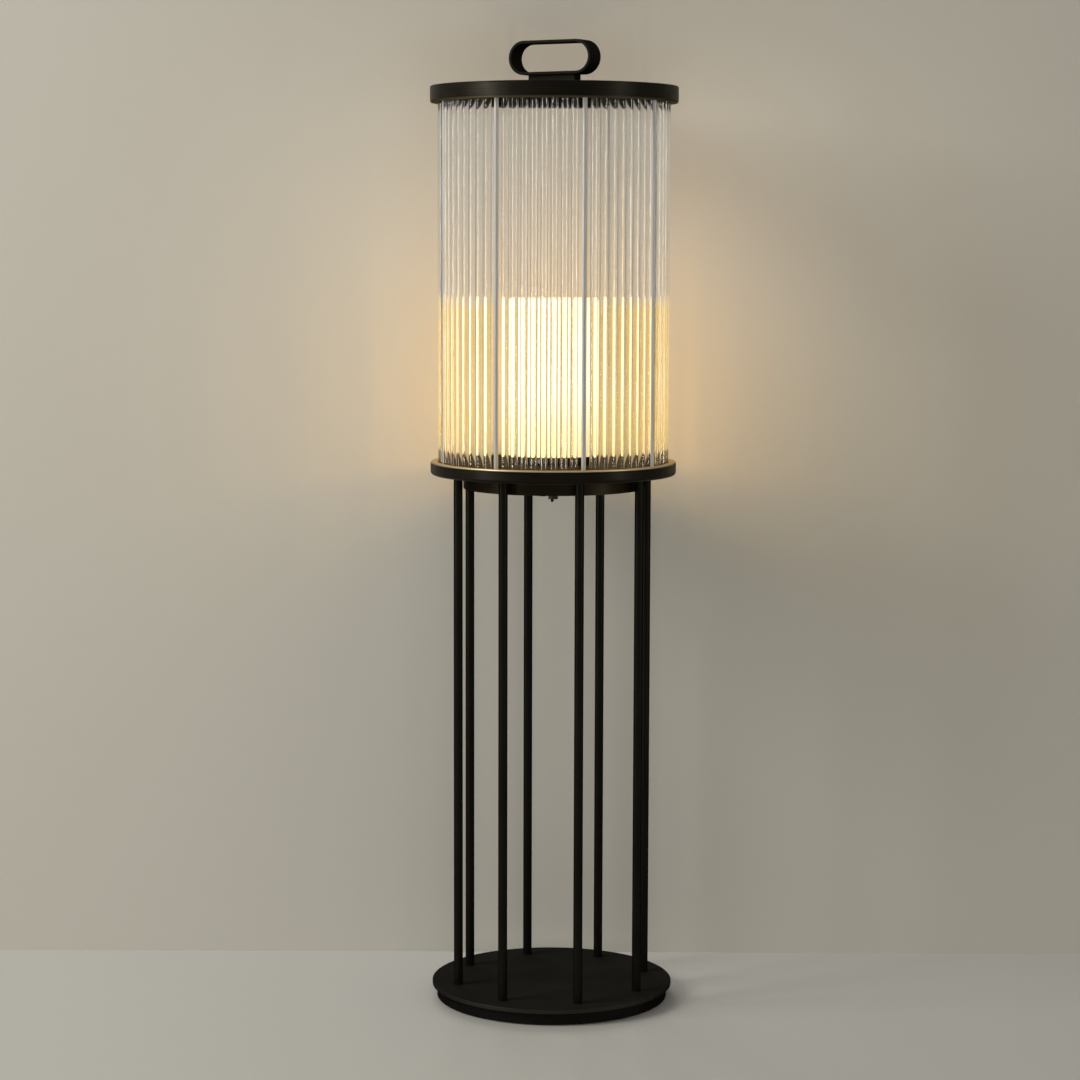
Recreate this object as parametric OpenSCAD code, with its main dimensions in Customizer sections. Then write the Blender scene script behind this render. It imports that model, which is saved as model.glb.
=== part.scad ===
// Lantern floor lamp: a round base on which eight slim legs carry a shallow tray,
// a cage of upright glass rods with an opal cylinder in it, and a cap with a strap handle.
// Millimetres, +Z up, origin at the centre of the base's underside.

/* [Base] */
// Diameter of the thin plate that shows on top of the base
base_plate_d = 297; // [285:1:340]
// Thickness of that plate
base_plate_t = 4.5; // [3:0.5:8]
// How far the plate oversails the weight below it
base_overhang = 5.8; // [2:0.2:8]
// Thickness of the cast weight under the plate
base_weight_t = 14.5; // [12:0.5:30]
// How far the pad stays back from the weight's edge
pad_inset = 4.5; // [2:0.5:8]
// Thickness of the pad that the lamp stands on
pad_t = 1.5; // [1:0.5:4]
// Edge chamfer of the plate and of the weight
base_chamfer = 0.6; // [0.2:0.1:1.2]

/* [Legs] */
// Outside diameter of a leg tube
leg_d = 11; // [10:0.5:14]
// Wall of a leg tube
leg_wall = 1.3; // [1:0.1:1.4]
// Length of a leg between the base plate and the tray
leg_length = 631; // [400:0.5:800]
// Distance from the tray's edge in to a leg's axis
leg_inset = 30.5; // [27:0.5:36]
// Length of the threaded plug in each end of a leg
plug_length = 18; // [12:1:30]
// Thread diameter of the leg bolts
leg_bolt_d = 6; // [5:0.5:6]

/* [Tray and drum] */
// Outside diameter of the tray and of the cap
lantern_d = 300; // [285:1:340]
// Height of the tray, without its trim ring
tray_h = 14; // [13:0.5:24]
// Thickness of the tray's floor
tray_floor_t = 2.5; // [2:0.25:4]
// Wall of the tray under the ledge that carries the rod plate
tray_wall = 5; // [4:0.5:6]
// Wall of the tray's lip beside the rod plate
tray_lip = 2; // [1.5:0.25:2.5]
// Radius of the tray's lower edge
tray_edge_r = 4; // [1:0.5:4.5]
// Height of the shallow drum under the tray
drum_h = 17; // [17:0.5:30]
// Wall of the drum
drum_wall = 1.5; // [1:0.25:2]
// Free space between the drum and the legs
drum_gap = 4; // [2:0.5:8]

/* [Glass cage] */
// Clear height between the lower and the upper rod plate
cage_h = 437; // [300:1:520]
// Thickness of each rod plate
rod_plate_t = 3; // [2.5:0.25:4]
// Diameter of a glass rod
rod_d = 9; // [7:0.25:9.5]
// Distance from the tray's edge in to the glass
rim_reveal = 9.5; // [8:0.25:12]
// Depth of the socket that a rod stands in
socket_depth = 1.5; // [1:0.25:2]
// How far a rod reaches above the upper rod plate
rod_reach = 3; // [1:0.5:5]
// Room round a rod in its hole
rod_clearance = 0.3; // [0.2:0.05:0.4]
// Glass rods between two posts
rods_per_bay = 8; // [4:1:8]
// Diameter of a steel post
post_d = 5.5; // [5:0.5:8]
// Thread diameter at a post's ends
post_thread_d = 4; // [4:0.5:5]
// Height of a brass trim ring
trim_h = 2; // [1:0.25:3]
// How far a trim ring stays back from the lantern's edge
trim_setback = 0.6; // [0.3:0.1:1.5]
// Room between a trim ring and the glass
trim_gap = 1.5; // [1:0.25:3]

/* [Cap and handle] */
// Height of the cap
cap_h = 17.5; // [16:0.5:30]
// Thickness of the cap's top
cap_top_t = 3; // [2:0.25:4]
// Radius of the cap's upper edge
cap_edge_r = 1.5; // [0.5:0.25:2]
// Length of the block under the handle
block_l = 65; // [50:1:80]
// Width of that block
block_w = 15; // [12:0.5:22]
// Height of that block
block_h = 14; // [8:0.5:20]
// Length of the handle's loop
handle_l = 113; // [100:1:140]
// Height of the handle's loop
handle_h = 41; // [34:0.5:50]
// Width of the handle's strap
strap_w = 26.5; // [16:0.5:30]
// Thickness of the handle's strap
strap_t = 3.5; // [2.5:0.25:5]
// Distance between the two handle bolts
handle_bolt_pitch = 36; // [24:1:40]
// Thread diameter of the handle bolts
handle_bolt_d = 5; // [4:0.5:6]

/* [Light] */
// Outside diameter of the opal cylinder
diffuser_d = 110; // [90:1:130]
// Height of the opal cylinder above its collar
diffuser_h = 190.5; // [170:0.5:240]
// Wall of the opal cylinder
diffuser_wall = 3; // [2:0.25:4]
// Radius of the opal cylinder's upper edge
diffuser_edge_r = 4; // [3.5:0.5:8]
// Height of the collar that holds it
collar_h = 10; // [7:0.5:14]
// Wall of that collar
collar_wall = 2.2; // [1.5:0.1:3]
// Thickness of the collar's floor
collar_floor_t = 2; // [1.5:0.25:3]
// Diameter of the lampholder
holder_d = 38; // [37:0.5:44]
// Height of the lampholder
holder_h = 53; // [50:0.5:60]
// Largest diameter of the bulb
bulb_d = 60; // [50:1:70]

/* [Switch and wiring] */
// Length of the switch's threaded bush below the drum
bush_drop = 13.7; // [10:0.1:20]
// Diameter of that bush
bush_d = 12; // [10:0.5:14]
// How far the lever leans from upright, to either side
lever_lean = 12; // [8:1:14]
// Length of the lever from its pivot to the middle of its tip
lever_length = 6.2; // [5.5:0.1:12]
// Distance from the drum's edge in to the cord gland
gland_inset = 40; // [30:1:46]
// Diameter of the cord that the gland takes
cord_bore_d = 7; // [5:0.25:7.5]
// Outside diameter of a wire
wire_d = 2; // [1.4:0.1:2]

/* [Hidden] */
$fn = 96;

// Cuts run this far past the faces that they open.
cut = 1;
// Room round a bolt in its hole, and round a part that slides into another.
bolt_clearance = 0.2;
slip_clearance = 0.1;
// The lamp has eight sides: a leg and a post stand at each, the first towards -Y.
sides = 8;
side_step = 360 / sides;
function side_angle(i) = -90 + side_step * i;

// Heights, from the floor up.
base_top_z = pad_t + base_weight_t + base_plate_t;
tray_z = base_top_z + leg_length;
cage_z = tray_z + tray_h;
cap_z = cage_z + cage_h;
cap_top_z = cap_z + cap_h;
strap_z = cap_top_z + block_h;
drum_z = tray_z - drum_h;
drum_floor_z = drum_z + drum_wall;
tray_floor_z = tray_z + tray_floor_t;
lower_plate_z = cage_z - rod_plate_t;
collar_floor_z = cage_z + collar_floor_t;

// Circles that the repeated parts stand on.
leg_circle_r = lantern_d / 2 - leg_inset;
rod_circle_r = lantern_d / 2 - rim_reveal - rod_d / 2;
drum_r = leg_circle_r - leg_d / 2 - drum_gap;
drum_screw_r = drum_r - 12;
cap_screw_r = leg_circle_r - 10;
screw_angle = side_step / 2;
plate_r = lantern_d / 2 - tray_lip - slip_clearance;

// Fasteners.
leg_bolt_head_d = leg_bolt_d * 1.65;
leg_bolt_head_h = leg_bolt_d;
leg_button_h = leg_bolt_d * 0.55;
leg_bolt_reach = 14;
small_screw_d = 4;
small_head_d = 7.6;
small_head_h = 1.2;
small_screw_grip = 9;
small_boss_d = 9;
post_nut_h = 4;
post_nut_d = 8.2;
post_thread_reach = 5.5;
handle_head_d = handle_bolt_d * 1.8;
handle_head_h = (handle_head_d - handle_bolt_d) / 2;
thumb_screw_d = 3;
thumb_head_d = 6;
thumb_head_h = 3;

// Lampholder and bulb.
nipple_d = 10;
nipple_bore_d = 7;
nipple_nut_d = 15;
nipple_nut_h = 2.4;
holder_z = collar_floor_z + nipple_nut_h;
holder_floor_t = 3;
holder_wall = 4;
core_t = 4;
core_z = holder_z + 13;
core_top_z = core_z + core_t;
contact_r = 3.5;
contact_t = 2;
bulb_cap_r = 13.2;
bulb_cap_h = 24;
shell_wall = 0.7;
shell_r = bulb_cap_r + 0.3 + shell_wall;
shell_h = 24;
core_r = shell_r + 0.5;
holder_bore_r = core_r + slip_clearance;
bulb_z = core_top_z + contact_t;
bulb_tip_h = 1;
bulb_neck_r = 14;
bulb_housing_z = bulb_z + bulb_tip_h + bulb_cap_h;
bulb_housing_h = 32;
bulb_neck_h = holder_z + holder_h + 2 - bulb_housing_z;
bulb_dome_z = bulb_housing_z + bulb_housing_h;
bulb_wall = 1.4;

// Switch, gland and wiring inside the drum.
switch_l = 18;
switch_w = 12;
switch_h = 7.5;
lug_x = 4.5;
lug_h = 3.4;
lever_ball_r = 2.3;
lever_stem_r = 1.5;
lever_tip_r = 2;
lever_pivot_z = drum_z - bush_drop + 4.2;
lever_room = 0.25;
lever_neck_r = 2.15;
lever_mouth_r = 3.4;
trunnion_r = 0.9;
trunnion_l = 7;
switch_nut_h = 2.5;
switch_nut_d = bush_d + 5;
gland_thread_d = cord_bore_d + 3.5;
gland_dome_d = gland_thread_d + 6;
gland_dome_h = 10;
gland_nut_h = 3.5;
gland_nut_d = gland_thread_d + 6;
gland_y = drum_r - gland_inset;
block_size = [24, 14, 11];
block_y = gland_y - 30;
pole_pitch = 7;
wire_z = drum_floor_z + switch_h + lug_h + wire_d / 2;
wire_gap_x = 1.5;
block_front_y = block_y - block_size[1] / 2;
pole_z = drum_floor_z + 7;
neutral_tab_l = 4;
neutral_tab_t = 0.8;
wire_neutral_r = shell_r - shell_wall / 2 - neutral_tab_l / 2;

STEEL_BLACK = [0.10, 0.095, 0.085];
BRASS = [0.72, 0.58, 0.30];
STEEL = [0.66, 0.68, 0.70];
OPAL = [1.0, 0.95, 0.82];

// ---- shared shapes ---------------------------------------------------------

// Copies its children to every side of the lamp, on a circle of radius r.
module at_sides(r) {
    for (i = [0 : sides - 1]) rotate(side_angle(i)) translate([r, 0, 0]) children();
}

// Copies its children to four places between the sides.
module at_corners(r) {
    for (i = [0 : 3]) rotate(screw_angle + 90 * i) translate([r, 0, 0]) children();
}

// A disc with a chamfer on its upper edge.
module chamfered_disc(d, h, chamfer) {
    rotate_extrude() polygon([
        [0, 0], [d / 2, 0], [d / 2, h - chamfer], [d / 2 - chamfer, h], [0, h]
    ]);
}

// A flat ring.
module flat_ring(outer_r, inner_r, h) {
    difference() {
        cylinder(r = outer_r, h = h);
        translate([0, 0, -cut]) cylinder(r = inner_r, h = h + 2 * cut);
    }
}

// A hexagon nut, d across its corners.
module hex_nut(d, bore_d, h) {
    difference() {
        cylinder(d = d, h = h, $fn = 6);
        translate([0, 0, -cut]) cylinder(d = bore_d, h = h + 2 * cut);
    }
}

// A socket screw that points up: head below z = 0, shank above it.
module socket_screw(shank_d, length, head_d, head_h) {
    difference() {
        union() {
            translate([0, 0, -head_h]) cylinder(d = head_d, h = head_h);
            cylinder(d = shank_d, h = length);
        }
        translate([0, 0, -head_h - cut]) cylinder(d = head_d * 0.5, h = head_h * 0.6 + cut, $fn = 6);
    }
}

// A countersunk socket screw along +Z, with the top of its head at z = 0.
module flush_screw(shank_d, length, head_d, head_h) {
    difference() {
        union() {
            cylinder(d1 = head_d, d2 = shank_d, h = head_h);
            cylinder(d = shank_d, h = length);
        }
        translate([0, 0, -cut]) cylinder(d = head_d * 0.4, h = head_h + cut, $fn = 6);
    }
}

// A quarter-round profile: a rectangle from the axis with one rounded outer top corner.
module rounded_profile(r, h, edge_r) {
    square([r - edge_r, h]);
    square([r, h - edge_r]);
    translate([r - edge_r, h - edge_r]) circle(edge_r);
}

// The points of a route with each inner corner rounded off, the round part this share of each run.
bend_share = 0.3;
bend_steps = 4;
function bend(a, p, b) = [
    for (k = [0 : bend_steps]) let (
        u = k / bend_steps,
        start = p + (a - p) * bend_share,
        end = p + (b - p) * bend_share
    ) start * pow(1 - u, 2) + p * 2 * u * (1 - u) + end * pow(u, 2)
];
function route(points) = [
    points[0],
    for (i = [1 : len(points) - 2]) each bend(points[i - 1], points[i], points[i + 1]),
    points[len(points) - 1]
];
function unit(v) = v / norm(v);

// A wire along a route, swept with eight sides. wire_frame lies along no run of any route.
wire_frame = [0.6, 0.7, -0.4];
wire_sides = 8;
module wire(points) {
    path = route(points);
    last = len(path) - 1;
    rings = [
        for (i = [0 : last]) let (
            along = unit(path[min(i + 1, last)] - path[max(i - 1, 0)]),
            u = unit(cross(along, wire_frame)),
            v = cross(along, u)
        ) for (k = [0 : wire_sides - 1]) let (a = 360 * k / wire_sides)
            path[i] + (u * cos(a) + v * sin(a)) * wire_d / 2
    ];
    skin = [
        for (i = [0 : last - 1], k = [0 : wire_sides - 1]) let (
            a = i * wire_sides + k,
            b = i * wire_sides + (k + 1) % wire_sides
        ) each [[a, a + wire_sides, b + wire_sides], [a, b + wire_sides, b]]
    ];
    polyhedron(rings, concat(
        skin,
        [[for (k = [0 : wire_sides - 1]) k]],
        [[for (k = [wire_sides - 1 : -1 : 0]) last * wire_sides + k]]
    ));
}

// ---- base ------------------------------------------------------------------

module base_pad() {
    color([0.12, 0.12, 0.12]) cylinder(d = base_plate_d - 2 * (base_overhang + pad_inset), h = pad_t);
}

module base_weight() {
    hole_d = leg_bolt_d + 2 * bolt_clearance;
    head_hole_d = leg_bolt_head_d + 4 * bolt_clearance;
    color([0.09, 0.085, 0.08]) translate([0, 0, pad_t]) difference() {
        chamfered_disc(base_plate_d - 2 * base_overhang, base_weight_t, base_chamfer);
        at_sides(leg_circle_r) {
            translate([0, 0, -cut]) cylinder(d = hole_d, h = base_weight_t + 2 * cut);
            translate([0, 0, -cut]) cylinder(d = head_hole_d, h = leg_bolt_head_h + 0.5 + cut);
        }
    }
}

module base_plate() {
    color(STEEL_BLACK) translate([0, 0, pad_t + base_weight_t]) difference() {
        chamfered_disc(base_plate_d, base_plate_t, base_chamfer);
        at_sides(leg_circle_r) translate([0, 0, -cut])
            cylinder(d = leg_bolt_d + 2 * bolt_clearance, h = base_plate_t + 2 * cut);
    }
}

// ---- legs ------------------------------------------------------------------

module leg(i) {
    color(STEEL_BLACK) rotate(side_angle(i - 1)) translate([leg_circle_r, 0, base_top_z])
        flat_ring(leg_d / 2, leg_d / 2 - leg_wall, leg_length);
}

module leg_plugs() {
    plug_r = leg_d / 2 - leg_wall - slip_clearance;
    color(STEEL) at_sides(leg_circle_r) for (z = [base_top_z, tray_z - plug_length])
        translate([0, 0, z]) flat_ring(plug_r, leg_bolt_d / 2 + slip_clearance, plug_length);
}

module leg_foot_bolts() {
    seat_z = pad_t + leg_bolt_head_h + 0.5;
    color(STEEL) at_sides(leg_circle_r) translate([0, 0, seat_z])
        socket_screw(leg_bolt_d, base_top_z - seat_z + leg_bolt_reach, leg_bolt_head_d, leg_bolt_head_h);
}

module leg_head_bolts() {
    color(STEEL) at_sides(leg_circle_r) translate([0, 0, tray_floor_z]) mirror([0, 0, 1])
        socket_screw(leg_bolt_d, tray_floor_t + leg_bolt_reach, leg_bolt_head_d, leg_button_h);
}

// ---- tray and drum ---------------------------------------------------------

module tray() {
    boss_h = drum_h - drum_wall;
    color(STEEL_BLACK) difference() {
        union() {
            translate([0, 0, cage_z]) mirror([0, 0, 1]) rotate_extrude()
                rounded_profile(lantern_d / 2, tray_h, tray_edge_r);
            at_corners(drum_screw_r) translate([0, 0, drum_floor_z])
                cylinder(d = small_boss_d, h = boss_h);
        }
        translate([0, 0, tray_floor_z]) cylinder(r = lantern_d / 2 - tray_wall, h = tray_h);
        translate([0, 0, lower_plate_z]) cylinder(r = lantern_d / 2 - tray_lip, h = tray_h);
        at_sides(leg_circle_r) translate([0, 0, tray_z - cut])
            cylinder(d = leg_bolt_d + 2 * bolt_clearance, h = tray_floor_t + 2 * cut);
        translate([0, 0, tray_z - cut])
            cylinder(d = nipple_d + 2 * slip_clearance, h = tray_floor_t + 2 * cut);
        at_corners(drum_screw_r) translate([0, 0, drum_floor_z - cut])
            cylinder(d = small_screw_d + 2 * slip_clearance, h = small_screw_grip + 2 + cut);
    }
}

module drum() {
    color(STEEL_BLACK) translate([0, 0, drum_z]) difference() {
        cylinder(r = drum_r, h = drum_h);
        translate([0, 0, drum_wall]) cylinder(r = drum_r - drum_wall, h = drum_h);
        translate([0, 0, -cut]) cylinder(d = bush_d + 2 * slip_clearance, h = drum_wall + 2 * cut);
        translate([0, gland_y, -cut])
            cylinder(d = gland_thread_d + 2 * slip_clearance, h = drum_wall + 2 * cut);
        at_corners(drum_screw_r) translate([0, 0, -cut])
            cylinder(d = small_screw_d + 2 * bolt_clearance, h = drum_wall + 2 * cut);
    }
}

module drum_screws() {
    color(STEEL) at_corners(drum_screw_r) translate([0, 0, drum_z])
        socket_screw(small_screw_d, drum_wall + small_screw_grip, small_head_d, small_head_h);
}

// ---- glass cage ------------------------------------------------------------

// The disc that both rod plates are cut from, with the holes for the posts in it.
module rod_plate_blank() {
    difference() {
        cylinder(r = plate_r, h = rod_plate_t);
        at_sides(rod_circle_r) translate([0, 0, -cut])
            cylinder(d = post_thread_d + 2 * bolt_clearance, h = rod_plate_t + 2 * cut);
    }
}

// Copies its children to the place of every glass rod in bay i.
module at_rods(i) {
    step = side_step / (rods_per_bay + 1);
    for (k = [1 : rods_per_bay]) rotate(side_angle(i - 1) + step * k)
        translate([rod_circle_r, 0, 0]) children();
}

module lower_rod_plate() {
    color([0.08, 0.075, 0.07]) translate([0, 0, lower_plate_z]) difference() {
        rod_plate_blank();
        translate([0, 0, -cut])
            cylinder(d = nipple_d + 2 * slip_clearance, h = rod_plate_t + 2 * cut);
        for (i = [1 : sides]) at_rods(i) translate([0, 0, rod_plate_t - socket_depth])
            cylinder(d = rod_d + 2 * rod_clearance, h = socket_depth + cut);
    }
}

module upper_rod_plate() {
    color([0.08, 0.075, 0.07]) translate([0, 0, cap_z]) difference() {
        rod_plate_blank();
        for (i = [1 : sides]) at_rods(i) translate([0, 0, -cut])
            cylinder(d = rod_d + 2 * rod_clearance, h = rod_plate_t + 2 * cut);
        at_corners(cap_screw_r) translate([0, 0, -cut])
            cylinder(d = small_screw_d + 2 * bolt_clearance, h = rod_plate_t + 2 * cut);
    }
}

module glass_rods(i) {
    color([0.85, 0.92, 0.90]) at_rods(i) translate([0, 0, cage_z - socket_depth])
        cylinder(d = rod_d, h = socket_depth + cage_h + rod_plate_t + rod_reach);
}

module trim_ring() {
    color(BRASS) flat_ring(lantern_d / 2 - trim_setback, lantern_d / 2 - rim_reveal + trim_gap, trim_h);
}

module lower_trim_ring() {
    translate([0, 0, cage_z]) trim_ring();
}

module upper_trim_ring() {
    translate([0, 0, cap_z - trim_h]) trim_ring();
}

module cage_posts() {
    thread_h = rod_plate_t + post_thread_reach;
    color(STEEL) at_sides(rod_circle_r) {
        translate([0, 0, cage_z]) cylinder(d = post_d, h = cage_h);
        translate([0, 0, cage_z - thread_h]) cylinder(d = post_thread_d, h = cage_h + 2 * thread_h);
    }
}

module post_nuts() {
    color(STEEL) at_sides(rod_circle_r) for (z = [lower_plate_z - post_nut_h, cap_z + rod_plate_t])
        translate([0, 0, z]) hex_nut(post_nut_d, post_thread_d + 2 * slip_clearance, post_nut_h);
}

// ---- cap and handle --------------------------------------------------------

module cap_shell() {
    color(STEEL_BLACK) translate([0, 0, cap_z]) difference() {
        union() {
            difference() {
                rotate_extrude() rounded_profile(lantern_d / 2, cap_h, cap_edge_r);
                translate([0, 0, -cut]) cylinder(r = lantern_d / 2 - tray_lip, h = cap_h - cap_top_t + cut);
            }
            at_corners(cap_screw_r) translate([0, 0, rod_plate_t])
                cylinder(d = small_boss_d, h = cap_h - rod_plate_t - cap_top_t + cut);
        }
        at_corners(cap_screw_r) translate([0, 0, rod_plate_t - cut])
            cylinder(d = small_screw_d + 2 * slip_clearance, h = small_screw_grip + 1 + cut);
        for (side = [-1, 1]) translate([side * handle_bolt_pitch / 2, 0, -cut])
            cylinder(d = handle_bolt_d + 2 * bolt_clearance, h = cap_h + 2 * cut);
    }
}

module cap_screws() {
    color(STEEL_BLACK) at_corners(cap_screw_r) translate([0, 0, cap_z])
        socket_screw(small_screw_d, rod_plate_t + small_screw_grip, small_head_d, small_head_h);
}

module handle_block() {
    corner_r = 1.5;
    color(STEEL_BLACK) translate([0, 0, cap_top_z]) difference() {
        linear_extrude(block_h) {
            square([block_l - 2 * corner_r, block_w], center = true);
            square([block_l, block_w - 2 * corner_r], center = true);
            for (sx = [-1, 1], sy = [-1, 1])
                translate([sx * (block_l / 2 - corner_r), sy * (block_w / 2 - corner_r)])
                    circle(corner_r);
        }
        for (side = [-1, 1]) translate([side * handle_bolt_pitch / 2, 0, -cut])
            cylinder(d = handle_bolt_d + 2 * bolt_clearance, h = block_h + 2 * cut);
    }
}

// A slot-shaped outline, h high, whose length is l.
module slot_outline(l, h) {
    square([l - h, h], center = true);
    for (side = [-1, 1]) translate([side * (l - h) / 2, 0]) circle(d = h);
}

module handle_strap() {
    color(STEEL_BLACK) translate([0, 0, strap_z]) difference() {
        translate([0, strap_w / 2, handle_h / 2]) rotate([90, 0, 0]) linear_extrude(strap_w)
            difference() {
                slot_outline(handle_l, handle_h);
                slot_outline(handle_l - 2 * strap_t, handle_h - 2 * strap_t);
            }
        for (side = [-1, 1]) translate([side * handle_bolt_pitch / 2, 0, 0]) {
            translate([0, 0, -cut])
                cylinder(d = handle_bolt_d + 2 * bolt_clearance, h = strap_t + 2 * cut);
            translate([0, 0, strap_t - handle_head_h]) cylinder(
                d1 = handle_bolt_d + 2 * bolt_clearance,
                d2 = handle_head_d + 2 * bolt_clearance + 2 * cut, h = handle_head_h + cut);
        }
    }
}

module handle_bolts() {
    bolt_h = strap_t + block_h + cap_top_t + handle_bolt_d;
    color(STEEL_BLACK) for (side = [-1, 1])
        translate([side * handle_bolt_pitch / 2, 0, strap_z + strap_t]) mirror([0, 0, 1])
            flush_screw(handle_bolt_d, bolt_h, handle_head_d, handle_head_h);
}

module handle_nuts() {
    nut_h = handle_bolt_d * 0.8;
    color(STEEL) for (side = [-1, 1])
        translate([side * handle_bolt_pitch / 2, 0, cap_top_z - cap_top_t - nut_h])
            hex_nut(handle_bolt_d * 1.8, handle_bolt_d + 2 * slip_clearance, nut_h);
}

// ---- light -----------------------------------------------------------------

module diffuser_collar() {
    bore_r = diffuser_d / 2 + 2 * slip_clearance;
    color(STEEL_BLACK) translate([0, 0, cage_z]) difference() {
        cylinder(r = bore_r + collar_wall, h = collar_h);
        translate([0, 0, collar_floor_t]) cylinder(r = bore_r, h = collar_h);
        translate([0, 0, -cut]) cylinder(d = nipple_d + 2 * slip_clearance, h = collar_floor_t + 2 * cut);
        at_thumb_screws() cylinder(d = thumb_screw_d + 2 * slip_clearance, h = collar_wall + 2);
    }
}

// Copies its children to the three thumb screws, laid along +X from the diffuser's wall.
module at_thumb_screws() {
    for (i = [0 : 2]) rotate(120 * i + side_step) translate([diffuser_d / 2, 0, collar_h * 0.6])
        rotate([0, 90, 0]) children();
}

module diffuser_screws() {
    head_x = 2 * slip_clearance + collar_wall + 0.6;
    color(STEEL) translate([0, 0, cage_z]) at_thumb_screws() {
        cylinder(d = thumb_screw_d, h = head_x + thumb_head_h / 2);
        translate([0, 0, head_x]) cylinder(d = thumb_head_d, h = thumb_head_h, $fn = 48);
    }
}

module diffuser() {
    full_h = collar_h - collar_floor_t + diffuser_h;
    inner_h = full_h - diffuser_wall;
    color(OPAL) translate([0, 0, collar_floor_z]) difference() {
        rotate_extrude() rounded_profile(diffuser_d / 2, full_h, diffuser_edge_r);
        translate([0, 0, -cut]) rotate_extrude()
            rounded_profile(diffuser_d / 2 - diffuser_wall, inner_h + cut, diffuser_edge_r - 2);
    }
}

module nipple() {
    bottom_z = tray_z - nipple_nut_h;
    top_z = holder_z + holder_floor_t + 2;
    color(STEEL) translate([0, 0, bottom_z])
        flat_ring(nipple_d / 2, nipple_bore_d / 2, top_z - bottom_z);
}

module nipple_nuts() {
    color(STEEL) for (z = [tray_z - nipple_nut_h, collar_floor_z])
        translate([0, 0, z]) hex_nut(nipple_nut_d, nipple_d + 2 * slip_clearance, nipple_nut_h);
}

module lampholder_cap() {
    color([0.1, 0.1, 0.1]) translate([0, 0, holder_z]) difference() {
        cylinder(d = holder_d, h = core_top_z - holder_z);
        translate([0, 0, -cut]) cylinder(d = nipple_d + 2 * slip_clearance, h = holder_floor_t + 2 * cut);
        translate([0, 0, holder_floor_t]) cylinder(r = holder_bore_r - 1.5, h = holder_h);
        translate([0, 0, core_z - holder_z]) cylinder(r = holder_bore_r, h = holder_h);
    }
}

module lampholder_sleeve() {
    color([0.1, 0.1, 0.1]) translate([0, 0, core_top_z])
        flat_ring(holder_d / 2, holder_bore_r, holder_z + holder_h - core_top_z);
}

module lampholder_core() {
    hole_r = wire_d / 2 + slip_clearance;
    color([0.93, 0.92, 0.88]) translate([0, 0, core_z]) difference() {
        cylinder(r = core_r, h = core_t);
        translate([0, 0, -cut]) cylinder(r = hole_r, h = core_t + 2 * cut);
        translate([-wire_neutral_r, 0, -cut]) cylinder(r = hole_r, h = core_t + 2 * cut);
    }
}

module lampholder_contacts() {
    color(BRASS) translate([0, 0, core_top_z]) {
        flat_ring(shell_r, shell_r - shell_wall, shell_h);
        translate([-shell_r + shell_wall / 2, -2, 0]) cube([neutral_tab_l, 4, neutral_tab_t]);
        cylinder(r = contact_r, h = contact_t);
    }
}

module bulb_cap() {
    color(STEEL) translate([0, 0, bulb_z]) {
        cylinder(r = contact_r, h = bulb_tip_h);
        translate([0, 0, bulb_tip_h]) cylinder(r = bulb_cap_r, h = bulb_cap_h);
    }
}

module bulb_housing() {
    color([0.92, 0.92, 0.90]) translate([0, 0, bulb_housing_z]) rotate_extrude() polygon([
        [0, 0], [bulb_neck_r, 0], [bulb_neck_r, bulb_neck_h], [bulb_d / 2 - 2, bulb_housing_h - 4],
        [bulb_d / 2 - 1, bulb_housing_h], [0, bulb_housing_h]
    ]);
}

module bulb_led_board() {
    led_r = bulb_d / 2 - 12;
    color([0.95, 0.95, 0.92]) translate([0, 0, bulb_dome_z]) {
        cylinder(d = bulb_d - 12, h = 1.6);
        for (a = [0 : 45 : 315]) rotate(a) translate([led_r, 0, 1.5 + 0.6])
            cube([3.5, 3.5, 1.2], center = true);
    }
}

module bulb_dome() {
    color(OPAL) translate([0, 0, bulb_dome_z]) difference() {
        intersection() {
            sphere(d = bulb_d);
            cylinder(d = bulb_d, h = bulb_d / 2);
        }
        sphere(d = bulb_d - 2 * bulb_wall);
    }
}

// ---- switch, gland and wiring ----------------------------------------------

module switch_body() {
    bush_h = bush_drop + drum_wall + 1;
    color([0.11, 0.10, 0.09]) difference() {
        union() {
            translate([-switch_l / 2, -switch_w / 2, drum_floor_z]) cube([switch_l, switch_w, switch_h]);
            translate([0, 0, drum_z - bush_drop]) cylinder(d = bush_d, h = bush_h);
            for (side = [-1, 1]) translate([side * lug_x - 1, -2, drum_floor_z + switch_h - 1])
                cube([2, 4, lug_h + 1]);
        }
        translate([0, 0, lever_pivot_z]) sphere(r = lever_ball_r + lever_room);
        translate([0, 0, lever_pivot_z])
            trunnion(trunnion_r + slip_clearance, trunnion_l + 2 * slip_clearance);
        translate([0, 0, drum_z - bush_drop]) rotate_extrude() polygon([
            [0, -cut], [lever_mouth_r, -cut], [lever_mouth_r, 0], [lever_neck_r, 2.9], [0, 2.9]
        ]);
    }
}

module switch_nut() {
    color(STEEL_BLACK) translate([0, 0, drum_z - switch_nut_h])
        hex_nut(switch_nut_d, bush_d + 2 * slip_clearance, switch_nut_h);
}

// The pin that the lever swings on, or its hole in the bush.
module trunnion(r, l) {
    rotate([90, 0, 0]) cylinder(r = r, h = l, center = true);
}

module switch_lever() {
    color(STEEL_BLACK) translate([0, 0, lever_pivot_z]) rotate([0, lever_lean, 0]) mirror([0, 0, 1]) {
        sphere(r = lever_ball_r);
        trunnion(trunnion_r, trunnion_l);
        cylinder(r = lever_stem_r, h = lever_length);
        translate([0, 0, lever_length]) sphere(r = lever_tip_r);
    }
}

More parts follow.
